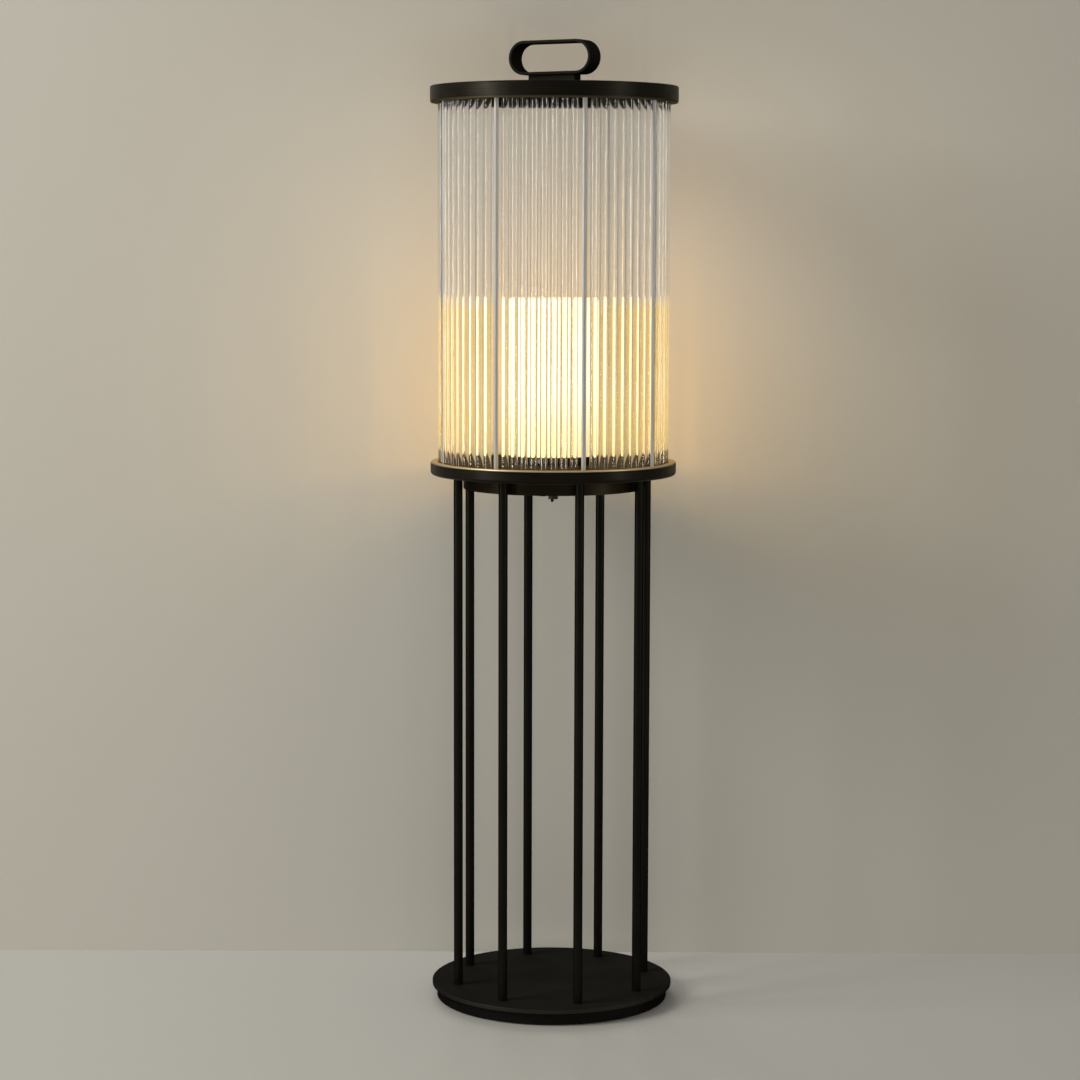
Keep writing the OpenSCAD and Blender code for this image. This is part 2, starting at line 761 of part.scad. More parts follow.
module cord_gland() {
    thread_h = drum_wall + gland_nut_h + 4;
    color([0.07, 0.07, 0.07]) translate([0, gland_y, drum_z]) difference() {
        union() {
            cylinder(d = gland_thread_d, h = thread_h);
            mirror([0, 0, 1]) rotate_extrude() rounded_profile(gland_dome_d / 2, gland_dome_h, 3);
        }
        translate([0, 0, -gland_dome_h - cut])
            cylinder(d = cord_bore_d, h = gland_dome_h + thread_h + 2 * cut);
    }
}

module gland_nut() {
    color([0.07, 0.07, 0.07]) translate([0, gland_y, drum_floor_z])
        hex_nut(gland_nut_d, gland_thread_d + 2 * slip_clearance, gland_nut_h);
}

module terminal_block() {
    color([0.90, 0.90, 0.86]) difference() {
        translate([-block_size[0] / 2, block_front_y, drum_floor_z]) cube(block_size);
        for (i = [-1 : 1]) translate([i * pole_pitch, block_y, drum_floor_z + block_size[2] - 3])
            cylinder(d = 3.4, h = 3 + cut);
    }
}

module wire_live() {
    feed = [
        [-pole_pitch, block_front_y, pole_z], [-pole_pitch, block_front_y - 8, pole_z],
        [-lug_x, block_front_y - 16, wire_z], [-lug_x, 0, wire_z]
    ];
    rise = [[lug_x, 0, wire_z], [wire_gap_x, 0, wire_z], [wire_gap_x, 0, core_z - 6],
        [0, 0, core_z - 2], [0, 0, core_top_z]];
    color([0.45, 0.24, 0.12]) {
        wire(feed);
        wire(rise);
    }
}

module wire_neutral() {
    color([0.15, 0.32, 0.62]) wire([
        [0, block_front_y, pole_z], [0, block_front_y - 8, pole_z],
        [-wire_gap_x, block_front_y - 16, wire_z], [-wire_gap_x, 3, wire_z],
        [-wire_gap_x, 0, wire_z], [-wire_gap_x, 0, core_z - 8], [-wire_gap_x, 0, core_z - 5],
        [-wire_neutral_r, 0, core_z - 2], [-wire_neutral_r, 0, core_top_z]
    ]);
}

module wire_earth() {
    color([0.35, 0.55, 0.20]) wire([
        [pole_pitch, block_front_y, pole_z], [pole_pitch, block_front_y - 8, pole_z],
        [3 * pole_pitch, block_front_y - 14, wire_z], [4 * pole_pitch, block_front_y - 18, wire_z],
        [4 * pole_pitch, block_front_y - 18, tray_z]
    ]);
}

base_pad();
base_weight();
base_plate();
leg(1);  // leg_1
leg(2);  // leg_2
leg(3);  // leg_3
leg(4);  // leg_4
leg(5);  // leg_5
leg(6);  // leg_6
leg(7);  // leg_7
leg(8);  // leg_8
leg_plugs();
leg_foot_bolts();
leg_head_bolts();
tray();
drum();
drum_screws();
lower_rod_plate();
lower_trim_ring();
glass_rods(1);  // glass_rods_1
glass_rods(2);  // glass_rods_2
glass_rods(3);  // glass_rods_3
glass_rods(4);  // glass_rods_4
glass_rods(5);  // glass_rods_5
glass_rods(6);  // glass_rods_6
glass_rods(7);  // glass_rods_7
glass_rods(8);  // glass_rods_8
cage_posts();
post_nuts();
upper_rod_plate();
upper_trim_ring();
cap_shell();
cap_screws();
handle_block();
handle_strap();
handle_bolts();
handle_nuts();
diffuser_collar();
diffuser();
diffuser_screws();
nipple();
nipple_nuts();
lampholder_cap();
lampholder_sleeve();
lampholder_core();
lampholder_contacts();
bulb_cap();
bulb_housing();
bulb_led_board();
bulb_dome();
switch_body();
switch_nut();
switch_lever();
cord_gland();
gland_nut();
terminal_block();
wire_live();
wire_neutral();
wire_earth();
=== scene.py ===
# Lantern floor lamp: eight slim legs on a round base carry a tray, a cage of glass rods
# round a glowing opal cylinder, and a cap with a strap handle. Metres, +Z up.
import math

import bmesh
import bpy
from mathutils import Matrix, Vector


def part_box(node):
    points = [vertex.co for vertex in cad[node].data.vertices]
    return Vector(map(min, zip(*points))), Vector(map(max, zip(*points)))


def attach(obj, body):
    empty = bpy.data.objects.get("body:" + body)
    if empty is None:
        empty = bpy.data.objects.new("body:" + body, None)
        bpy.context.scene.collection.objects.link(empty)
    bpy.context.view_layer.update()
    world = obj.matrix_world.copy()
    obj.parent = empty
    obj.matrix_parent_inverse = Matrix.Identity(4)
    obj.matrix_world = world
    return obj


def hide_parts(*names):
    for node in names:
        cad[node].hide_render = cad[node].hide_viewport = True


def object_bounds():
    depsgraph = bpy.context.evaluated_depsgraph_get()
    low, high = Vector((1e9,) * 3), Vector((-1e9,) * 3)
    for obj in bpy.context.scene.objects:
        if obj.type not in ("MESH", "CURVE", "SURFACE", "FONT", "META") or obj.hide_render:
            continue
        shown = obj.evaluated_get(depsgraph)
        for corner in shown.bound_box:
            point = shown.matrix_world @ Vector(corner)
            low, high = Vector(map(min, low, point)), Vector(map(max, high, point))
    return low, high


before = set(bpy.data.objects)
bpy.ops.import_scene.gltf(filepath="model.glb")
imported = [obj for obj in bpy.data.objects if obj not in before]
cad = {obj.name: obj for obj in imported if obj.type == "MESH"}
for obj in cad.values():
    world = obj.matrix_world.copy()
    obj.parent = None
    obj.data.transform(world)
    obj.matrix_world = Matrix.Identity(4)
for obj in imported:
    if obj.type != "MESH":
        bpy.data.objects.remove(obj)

cad_low, cad_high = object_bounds()

# ---- Camera ------------------------------------------------------------------
# Stands at the height of the glass, to the right of the leg towards -Y, and looks a little down.
camera_turn = math.radians(29.77)
camera_distance = 3.385
camera_height = 0.942
look_aside = math.radians(0.286)
look_down = math.radians(6.27)
camera_roll = math.radians(-0.15)
lens_mm = 92.5
sensor_mm = 36
towards_camera = Vector((math.sin(camera_turn), -math.cos(camera_turn), 0))
across_view = Vector((math.cos(camera_turn), math.sin(camera_turn), 0))

camera = bpy.data.objects.new("camera", bpy.data.cameras.new("camera"))
camera.location = towards_camera * camera_distance + Vector((0, 0, camera_height))
camera.rotation_euler = (math.pi / 2 - look_down, camera_roll, camera_turn + look_aside)
camera.data.lens = lens_mm
camera.data.sensor_width = sensor_mm
bpy.context.scene.collection.objects.link(camera)
bpy.context.scene.camera = camera
bpy.context.scene.view_settings.view_transform = "Standard"


# ---- Floor, backdrop and light -----------------------------------------------
# A pale floor and a pale wall close behind the lamp, which fade into the horizon far off. The wall
# is there for what looks at it from the front, and lets light and the view from behind through.
floor_colour = (0.50, 0.485, 0.435, 1)
floor_reach = 14.0
floor_fade_start = 0.9
floor_fade_end = 2.9
wall_colour = (0.60, 0.575, 0.505, 1)
wall_behind = 0.203
wall_half_width = 3.2
wall_height = 3.0
wall_fade_middle = (0, 0, 0.6)
wall_fade_start = 1.1
wall_fade_end = 2.3
horizon_colour = (0.42, 0.40, 0.35, 1)
horizon_dimming_in_gloss = 0.55
room_colour = (1.0, 0.985, 0.95, 1)
room_strength = 0.32


def plug(tree, kind, values=None, **settings):
    """Adds a shader node with its settings, and gives each input its value or its link."""
    made = tree.nodes.new("ShaderNode" + kind)
    for key, value in settings.items():
        setattr(made, key, value)
    for socket, value in (values or {}).items():
        if isinstance(value, bpy.types.NodeSocket):
            tree.links.new(value, made.inputs[socket])
        else:
            made.inputs[socket].default_value = value
    return made


def reckon(tree, operation, *numbers):
    """One step of arithmetic."""
    return plug(tree, "Math", dict(enumerate(numbers)), operation=operation).outputs[0]


def ranged(tree, value, start, end, low=0.0, high=1.0, **settings):
    """Goes from low, where the value is start, to high, where it is end, and no further."""
    return plug(tree, "MapRange", {"Value": value, "From Min": start, "From Max": end,
                                   "To Min": low, "To Max": high}, **settings).outputs[0]


def place_on(tree):
    """Where on the lamp a point lies."""
    return plug(tree, "TexCoord").outputs["Object"]


def looked_at_by(tree):
    """1 for rays that look at a background: the camera's, and those in metal and glass."""
    rays = plug(tree, "LightPath").outputs
    in_air = reckon(tree, "MAXIMUM", rays["Is Camera Ray"], rays["Is Glossy Ray"])
    return reckon(tree, "MAXIMUM", in_air, rays["Is Transmission Ray"])


def faded_far_off(tree, skin, middle, start, end):
    """The skin near the middle, and the horizon's colour beyond it for rays that look at it."""
    far_off = plug(tree, "Emission", {"Color": horizon_colour, "Strength": 1.0})
    away = plug(tree, "VectorMath", {0: place_on(tree), 1: middle}, operation="DISTANCE")
    fade = ranged(tree, away.outputs["Value"], start, end, interpolation_type="SMOOTHSTEP")
    seen = reckon(tree, "MULTIPLY", fade, looked_at_by(tree))
    return plug(tree, "MixShader", {0: seen, 1: skin.outputs["BSDF"],
                                    2: far_off.outputs[0]}).outputs[0]


def new_material(name):
    """An empty material, its node tree and its output node."""
    material = bpy.data.materials.new(name)
    material.use_nodes = True
    tree = material.node_tree
    tree.nodes.clear()
    return material, tree, tree.nodes.new("ShaderNodeOutputMaterial")


def flat_sheet(name, corners, material):
    """One flat face, which isn't part of the lamp."""
    mesh = bpy.data.meshes.new(name)
    mesh.from_pydata([tuple(c) for c in corners], [], [tuple(range(len(corners)))])
    mesh.materials.append(material)
    sheet = bpy.data.objects.new(name, mesh)
    bpy.context.scene.collection.objects.link(sheet)


floor_paint, tree, out = new_material("floor_paint")
floor_skin = plug(tree, "BsdfPrincipled", {"Base Color": floor_colour, "Roughness": 0.75,
                                           "Specular IOR Level": 0.2})
faded_floor = faded_far_off(tree, floor_skin, (0, 0, 0), floor_fade_start, floor_fade_end)
tree.links.new(faded_floor, out.inputs["Surface"])
flat_sheet("floor", [(x * floor_reach, y * floor_reach, 0)
                     for x, y in ((-1, -1), (1, -1), (1, 1), (-1, 1))], floor_paint)

wall_paint, tree, out = new_material("wall_paint")
wall_skin = plug(tree, "BsdfPrincipled", {"Base Color": wall_colour, "Roughness": 0.9,
                                          "Specular IOR Level": 0.1})
faded_wall = faded_far_off(tree, wall_skin, wall_fade_middle, wall_fade_start, wall_fade_end)
see_through = plug(tree, "BsdfTransparent")
side = plug(tree, "NewGeometry")
from_front = reckon(tree, "SUBTRACT", 1.0, side.outputs["Backfacing"])
shown = reckon(tree, "MULTIPLY", looked_at_by(tree), from_front)
wall_mix = plug(tree, "MixShader", {0: shown, 1: see_through.outputs[0], 2: faded_wall})
tree.links.new(wall_mix.outputs[0], out.inputs["Surface"])
wall_foot = -towards_camera * wall_behind
left_foot = wall_foot - across_view * wall_half_width
right_foot = wall_foot + across_view * wall_half_width
wall_rise = Vector((0, 0, wall_height))
flat_sheet("backdrop", [left_foot, right_foot, right_foot + wall_rise, left_foot + wall_rise],
           wall_paint)

world = bpy.data.worlds.new("studio")
bpy.context.scene.world = world
world.use_nodes = True
tree = world.node_tree
tree.nodes.clear()
rays = plug(tree, "LightPath").outputs
room_light = plug(tree, "Background", {"Color": room_colour, "Strength": room_strength})
horizon_strength = reckon(tree, "MULTIPLY_ADD", rays["Is Glossy Ray"], -horizon_dimming_in_gloss,
                          1.0)
horizon = plug(tree, "Background", {"Color": horizon_colour, "Strength": horizon_strength})
sky = plug(tree, "MixShader", {0: looked_at_by(tree), 1: room_light.outputs[0],
                               2: horizon.outputs[0]})
tree.links.new(sky.outputs[0], tree.nodes.new("ShaderNodeOutputWorld").inputs["Surface"])

# Lamps with this collection as their receivers light only the glass rods, which are put into it.
glass_only = bpy.data.collections.new("glass_only")


def soft_box(name, place, size, watts, on_matt=True, in_gloss=True):
    """A flat lamp that faces the middle of the lantern, from a place that is given as how far
    across the view, towards the camera and up."""
    light = bpy.data.lights.new(name, "AREA")
    light.shape = "RECTANGLE"
    light.size, light.size_y = size
    light.energy = watts
    light.color = (1, 0.99, 0.97)
    box = bpy.data.objects.new(name, light)
    across, towards, up = place
    box.location = across_view * across + towards_camera * towards + Vector((0, 0, up))
    aim = Vector((0, 0, (cad_low.z + cad_high.z) / 2)) - box.location
    box.rotation_euler = aim.to_track_quat("-Z", "Y").to_euler()
    box.visible_camera = False
    box.visible_diffuse = on_matt
    box.visible_glossy = in_gloss
    box.visible_transmission = False
    bpy.context.scene.collection.objects.link(box)
    return box


soft_box("key_light", (-2.9, 1.15, 2.3), (1.6, 1.6), 71)
soft_box("fill_light", (0.3, 3.2, 0.7), (1.2, 1.2), 13, in_gloss=False)
soft_box("back_light", (-0.8, -2.8, 2.2), (1.8, 1.8), 30)
soft_box("left_strip", (-1.9, 1.0, 1.1), (0.2, 1.6), 22, on_matt=False)
soft_box("right_strip", (1.9, 1.0, 1.1), (0.2, 1.6), 11, on_matt=False)
for name, across, watts in (("left_glass_strip", -1.75, 17), ("right_glass_strip", 1.75, 18)):
    strip = soft_box(name, (across, 1.3, 1.1), (0.3, 1.6), watts, on_matt=False)
    strip.light_linking.receiver_collection = glass_only


# ---- Satin black coat ----------------------------------------------------------
# All the black metal is baked enamel over steel: nearly black with a little brown in it, a fine
# grain under the finger, slightly worn to a lighter shade on its edges, and faintly smudged.
def new_group(name, inputs, outputs):
    """An empty node group with its sockets, and its input and output nodes."""
    tree = bpy.data.node_groups.new(name, "ShaderNodeTree")
    for socket, kind, value in inputs:
        made = tree.interface.new_socket(socket, in_out="INPUT", socket_type="NodeSocket" + kind)
        made.default_value = value
    for socket, kind in outputs:
        tree.interface.new_socket(socket, in_out="OUTPUT", socket_type="NodeSocket" + kind)
    return tree, tree.nodes.new("NodeGroupInput"), tree.nodes.new("NodeGroupOutput")


def mottle(tree, place, per_metre, detail=2.0):
    """A soft random pattern between 0 and 1."""
    return plug(tree, "TexNoise", {"Vector": place, "Scale": per_metre,
                                   "Detail": detail}).outputs["Fac"]


def mixed(tree, share, first, second):
    """The first colour, with a share of the second."""
    return plug(tree, "Mix", {0: share, 6: first, 7: second}, data_type="RGBA").outputs[2]


def relief(tree, height, depth, normal=None):
    """The slopes of a pattern that stands up by the depth, on top of those that are there."""
    values = {"Height": height, "Distance": depth, "Strength": 1.0}
    if normal is not None:
        values["Normal"] = normal
    return plug(tree, "Bump", values).outputs[0]


def give_skin(tree, out, values):
    """Makes the material's surface from the values and links of its inputs."""
    skin = plug(tree, "BsdfPrincipled", values)
    tree.links.new(skin.outputs["BSDF"], out.inputs["Surface"])


# Enamel: a cloudy tint, a grain for the bump, and a roughness that the grain and smudges change.
enamel, given, made = new_group(
    "enamel_grain",
    [("Color", "Color", (0.02, 0.02, 0.02, 1)), ("Cloud Color", "Color", (0.03, 0.03, 0.03, 1)),
     ("Roughness", "Float", 0.45), ("Grain per Metre", "Float", 1400.0)],
    [("Color", "Color"), ("Roughness", "Float"), ("Height", "Float")])
spot = place_on(enamel)
grain = mottle(enamel, spot, given.outputs["Grain per Metre"], detail=3.0)
clouds = ranged(enamel, mottle(enamel, spot, 9.0, detail=4.0), 0.38, 0.68)
smudges = ranged(enamel, mottle(enamel, spot, 34.0, detail=6.0), 0.45, 0.75, -0.05, 0.10)
tint = mixed(enamel, clouds, given.outputs["Color"], given.outputs["Cloud Color"])
rough = reckon(enamel, "ADD", given.outputs["Roughness"], smudges)
rough = reckon(enamel, "ADD", rough, ranged(enamel, grain, 0.0, 1.0, -0.06, 0.06))
enamel.links.new(tint, made.inputs["Color"])
enamel.links.new(rough, made.inputs["Roughness"])
enamel.links.new(grain, made.inputs["Height"])

# Turning lines: fine rings about the lamp's axis, as a lathe or a polishing pad leaves them.
turning, given, made = new_group(
    "turning_lines", [("Lines per Metre", "Float", 2600.0)], [("Mask", "Float")])
parts = plug(turning, "SeparateXYZ", {0: place_on(turning)}).outputs
level = plug(turning, "CombineXYZ", {0: parts[0], 1: parts[1]}).outputs[0]
radius = plug(turning, "VectorMath", {0: level}, operation="LENGTH").outputs["Value"]
ring_and_height = plug(turning, "CombineXYZ", {0: radius, 1: parts[2]}).outputs[0]
fine = plug(turning, "VectorMath", {0: ring_and_height,
                                    "Scale": given.outputs["Lines per Metre"]}, operation="SCALE")
slow = plug(turning, "VectorMath", {0: level, "Scale": 22.0}, operation="SCALE")
both = plug(turning, "VectorMath", {0: fine.outputs[0], 1: slow.outputs[0]}, operation="ADD")
turning.links.new(mottle(turning, both.outputs[0], 1.0), made.inputs["Mask"])

# Worn edges: a mask that is 1 where the surface turns a corner.
edges, given, made = new_group(
    "worn_edges", [("Width", "Float", 0.0012), ("Amount", "Float", 1.0)], [("Mask", "Float")])
flat = plug(edges, "NewGeometry")
turned_in = plug(edges, "Bevel", {"Radius": given.outputs["Width"]}, samples=4)
facing = plug(edges, "VectorMath", {0: flat.outputs["Normal"], 1: turned_in.outputs["Normal"]},
              operation="DOT_PRODUCT")
corner = ranged(edges, facing.outputs["Value"], 0.995, 0.90)
patches = ranged(edges, mottle(edges, place_on(edges), 60.0, detail=5.0), 0.35, 0.62)
worn = reckon(edges, "MULTIPLY", corner, patches)
worn = reckon(edges, "MULTIPLY", worn, given.outputs["Amount"])
edges.links.new(worn, made.inputs["Mask"])


def black_coat(name, colour, cloud_colour, edge_colour, roughness, grain_depth, line_depth=0.0,
               wear=0.5, sheen=0.6, rim_light=0.02):
    """Satin black enamel, with turning lines that show through it where line_depth isn't 0."""
    material, tree, out = new_material(name)
    coat = plug(tree, "Group", node_tree=enamel, values={
        "Color": colour, "Cloud Color": cloud_colour, "Roughness": roughness}).outputs
    rim = plug(tree, "Group", {"Amount": wear}, node_tree=edges)
    paint = mixed(tree, rim.outputs["Mask"], coat["Color"], edge_colour)
    slopes = relief(tree, coat["Height"], grain_depth)
    if line_depth:
        lines = plug(tree, "Group", node_tree=turning).outputs["Mask"]
        streaks = ranged(tree, lines, 0.42, 0.68, 0.0, 0.20)
        paint = mixed(tree, streaks, paint, edge_colour)
        slopes = relief(tree, lines, line_depth, slopes)
    give_skin(tree, out, {"Base Color": paint, "Normal": slopes, "Roughness": coat["Roughness"],
                          "Metallic": sheen, "Specular IOR Level": 0.0,
                          "Specular Tint": (rim_light, rim_light, rim_light, 1)})
    return material


def dress(material, *names):
    """Gives CAD nodes their finish."""
    for name in names:
        cad[name].material_slots[0].material = material


# ---- Base ----------------------------------------------------------------------
# A thin steel disc that carries the legs, on a slightly smaller cast weight. A foam rubber pad
# under the weight keeps the lamp from scratching the floor.
plate_coat = black_coat("base_plate_coat", (0.0320, 0.0305, 0.0250, 1), (0.0370, 0.0352, 0.0290, 1),
                        (0.040, 0.037, 0.032, 1), roughness=0.36, grain_depth=0.000010,
                        line_depth=0.000003, wear=0.25)
dress(plate_coat, "base_plate")

casting_coat = black_coat("weight_coat", (0.0105, 0.0100, 0.0088, 1), (0.0140, 0.0134, 0.0118, 1),
                          (0.030, 0.028, 0.025, 1), roughness=0.55, grain_depth=0.000030)
dress(casting_coat, "base_weight")

foam, tree, out = new_material("pad_foam")
cells = plug(tree, "TexVoronoi", {"Vector": place_on(tree), "Scale": 1600.0}).outputs["Distance"]
give_skin(tree, out, {"Base Color": ranged(tree, cells, 0.0, 1.0, 0.010, 0.028),
                      "Roughness": 0.95, "Normal": relief(tree, cells, 0.0001)})
dress(foam, "base_pad")


# ---- Legs ----------------------------------------------------------------------
# Eight steel tubes, enamelled. Each has a threaded plug in both ends, with a socket screw through
# the base from below and another through the tray's floor from above.
legs = 8
leg_coat = black_coat("leg_coat", (0.0115, 0.0106, 0.0080, 1), (0.0145, 0.0134, 0.0102, 1),
                      (0.030, 0.028, 0.024, 1), roughness=0.40, grain_depth=0.000010, wear=0.3)
dress(leg_coat, *[f"leg_{i}" for i in range(1, legs + 1)])


def drawn_metal(name, colour, dark_colour, roughness, lines_per_metre, stretch, line_depth,
                metallic=1.0):
    """Bare metal with fine lines along the direction in which stretch is small."""
    material, tree, out = new_material(name)
    drawn = plug(tree, "VectorMath", {0: place_on(tree), 1: stretch}, operation="MULTIPLY")
    lines = mottle(tree, drawn.outputs[0], lines_per_metre, detail=3.0)
    gloss = ranged(tree, lines, 0.0, 1.0, roughness - 0.10, roughness + 0.10)
    give_skin(tree, out, {"Base Color": mixed(tree, lines, colour, dark_colour),
                          "Metallic": metallic, "Roughness": gloss,
                          "Normal": relief(tree, lines, line_depth)})
    return material


fastener_steel = drawn_metal("fastener_steel", (0.50, 0.51, 0.52, 1), (0.30, 0.30, 0.31, 1),
                             roughness=0.34, lines_per_metre=900.0, stretch=(1, 1, 0.4),
                             line_depth=0.00001)
dress(fastener_steel, "leg_plugs", "leg_foot_bolts", "leg_head_bolts")


# ---- Tray and drum -------------------------------------------------------------
# The tray is a spun steel dish with a rounded lower edge. Its shallow drum holds the switch and
# the wiring, and hangs from four screws. The cap and the collar have the tray's finish.
turned_coat = black_coat("turned_coat", (0.0105, 0.0092, 0.0070, 1), (0.0155, 0.0136, 0.0103, 1),
                         (0.050, 0.043, 0.032, 1), roughness=0.40, grain_depth=0.000008,
                         line_depth=0.000006, rim_light=0.9)
dress(turned_coat, "tray", "cap_shell", "diffuser_collar")
drum_coat = black_coat("drum_coat", (0.0155, 0.0120, 0.0070, 1), (0.0205, 0.0160, 0.0095, 1),
                       (0.050, 0.043, 0.032, 1), roughness=0.42, grain_depth=0.000008,
                       line_depth=0.000006, rim_light=0.4)
dress(drum_coat, "drum")
black_screws = black_coat("screw_coat", (0.012, 0.011, 0.010, 1), (0.016, 0.015, 0.013, 1),
                          (0.12, 0.11, 0.10, 1), roughness=0.33, grain_depth=0.000006, wear=0.9)
dress(black_screws, "drum_screws", "cap_screws", "handle_bolts")


# ---- Rod plates ----------------------------------------------------------------
# Two steel discs hold the glass: the lower one has a shallow socket for each rod, the upper one
# has holes through which the rods can rise. Their faces inside the cage are plain matt black, but
# the lower one's black is tinted gold as painted warm light from the glowing cylinder.
upper_plate_coat = black_coat("upper_plate_coat", (0.0050, 0.0045, 0.0038, 1),
                              (0.0065, 0.0058, 0.0048, 1), (0.010, 0.009, 0.007, 1),
                              roughness=0.60, grain_depth=0.000010, wear=0.2, sheen=0.0)
dress(upper_plate_coat, "upper_rod_plate")
# The gold in this coat is painted light: the cylinder's warm glow falling on the lower plate.
lower_plate_painted_glow_coat = black_coat("lower_plate_painted_glow_coat", (0.0120, 0.0083, 0.0027, 1),
                              (0.0150, 0.0104, 0.0035, 1), (0.022, 0.016, 0.007, 1),
                              roughness=0.45, grain_depth=0.000010, line_depth=0.000003,
                              wear=0.2, sheen=0.35)
dress(lower_plate_painted_glow_coat, "lower_rod_plate")


# ---- Trim rings ----------------------------------------------------------------
# Two flat brass rings outside the glass, one on the tray and one under the cap. Each is turned
# from sheet with its outer edge rolled round, brushed and lacquered. The upper one's brass is
# painted much darker, as painted shade under the cap.
ring_sides = 256
ring_rolled_edge = 0.0008
ring_lower_break = 0.0001
ring_upper_break = 0.0003
ring_gap = 0.002


def softened(corners, bend_steps=6):
    """An outline of (radius, height, rounding) corners with each corner rounded off."""
    outline = []
    for i, (radius, height, rounding) in enumerate(corners):
        here = Vector((radius, height))
        if rounding == 0:
            outline.append((radius, height))
            continue
        back = (Vector(corners[i - 1][:2]) - here).normalized()
        ahead = (Vector(corners[(i + 1) % len(corners)][:2]) - here).normalized()
        half = back.angle(ahead) / 2
        centre = here + (back + ahead).normalized() * rounding / math.sin(half)
        start = here + back * rounding / math.tan(half) - centre
        end = here + ahead * rounding / math.tan(half) - centre
        turn = math.pi - 2 * half
        for k in range(bend_steps + 1):
            share = k / bend_steps
            arm = start * math.sin((1 - share) * turn) + end * math.sin(share * turn)
            outline.append(tuple(centre + arm / math.sin(turn)))
    return outline


def turn_into(bm, outline, sides, centre=(0, 0), closed=True):
    """Turns an outline of (radius, height) points about an upright axis through centre."""
    rings = []
    for radius, height in outline:
        turns = sides if radius > 0 else 1
        rings.append([bm.verts.new((centre[0] + radius * math.cos(2 * math.pi * k / sides),
                                    centre[1] + radius * math.sin(2 * math.pi * k / sides),
                                    height)) for k in range(turns)])
    following = rings[1:] + rings[:1] if closed else rings[1:]
    for low, high in zip(rings, following):
        if len(low) + len(high) == 2:
            continue
        for k in range(sides):
            n = k + 1
            corners = [low[k % len(low)], low[n % len(low)],
                       high[n % len(high)], high[k % len(high)]]
            bm.faces.new(list(dict.fromkeys(corners)))


def new_piece(name, bm, material, node):
    """Makes a fixed piece of the lamp from its mesh, in place of a CAD node."""
    bmesh.ops.recalc_face_normals(bm, faces=bm.faces)
    mesh = bpy.data.meshes.new(name)
    bm.to_mesh(mesh)
    bm.free()
    mesh.materials.append(material)
    mesh.shade_smooth()
    piece = bpy.data.objects.new(name, mesh)
    bpy.context.scene.collection.objects.link(piece)
    even = piece.modifiers.new("even_normals", "WEIGHTED_NORMAL")
    even.weight = 100
    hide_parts(node)
    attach(piece, "lamp")
    return piece


def brushed_brass(name, colour, tarnish_colour, metallic):
    """Lacquered brass with turning lines and a cloudy tarnish."""
    material, tree, out = new_material(name)
    lines = plug(tree, "Group", {"Lines per Metre": 3200.0}, node_tree=turning).outputs["Mask"]
    tarnish = ranged(tree, mottle(tree, place_on(tree), 26.0, detail=5.0), 0.42, 0.75, 0.0, 0.6)
    give_skin(tree, out, {"Base Color": mixed(tree, tarnish, colour, tarnish_colour),
                          "Metallic": metallic,
                          "Roughness": ranged(tree, lines, 0.0, 1.0, 0.30, 0.50),
                          "Normal": relief(tree, lines, 0.000006), "Specular IOR Level": 0.0,
                          "Specular Tint": (0.02, 0.02, 0.02, 1)})
    return material


brass = brushed_brass("brushed_brass", (0.60, 0.52, 0.34, 1), (0.48, 0.40, 0.25, 1),
                      metallic=0.7)
# Much darker brass for the upper ring: painted shade, where the cap shadows it.
painted_shade_brass = brushed_brass("painted_shade_brass", (0.075, 0.063, 0.030, 1), (0.052, 0.043, 0.020, 1),
                           metallic=0.3)

glass_r = max(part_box("glass_rods_1")[1].x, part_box("glass_rods_2")[1].x)
inner_r = glass_r + ring_gap
for ring, metal in (("lower_trim_ring", brass), ("upper_trim_ring", painted_shade_brass)):
    low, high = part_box(ring)
    bm = bmesh.new()
    turn_into(bm, softened([(inner_r, low.z, ring_lower_break), (high.x, low.z, ring_rolled_edge),
                            (high.x, high.z, ring_rolled_edge),
                            (inner_r, high.z, ring_upper_break)]), ring_sides)
    new_piece(ring.replace("_ring", ""), bm, metal, ring)


# ---- Glass rods ----------------------------------------------------------------
# Sixty-four solid rods of drawn clear glass, cut to length with their ends fire-polished. They
# stand in the lower plate's sockets, eight to a bay, and pass through the upper plate.
bays = 8
rods_in_bay = 8
rod_sides = 56
rod_polish = 0.0007
clear_tint = (0.995, 0.998, 0.993, 1)
# A warm tint painted on the glass beside the lit cylinder, standing in for the cylinder's light.
painted_glow_tint = (0.99, 0.965, 0.83, 1)
glass_let_through = 0.78
painted_glow_strength = 0.032
first_low, first_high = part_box("glass_rods_1")
second_low, second_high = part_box("glass_rods_2")
rod_bottom = first_low.z
rod_top = first_high.z


def colour_along(tree, share, first, last, steps):
    """The colour at a share of the way from first to last, by way of (share, colour) steps."""
    along = plug(tree, "ValToRGB", {"Fac": share})
    along.color_ramp.elements[0].color = first
    along.color_ramp.elements[1].color = last
    for place, colour in steps:
        along.color_ramp.elements.new(place).color = colour
    return along.outputs[0]


def height_on(tree):
    """How high on the lamp a point lies."""
    return plug(tree, "SeparateXYZ", {0: place_on(tree)}).outputs[2]


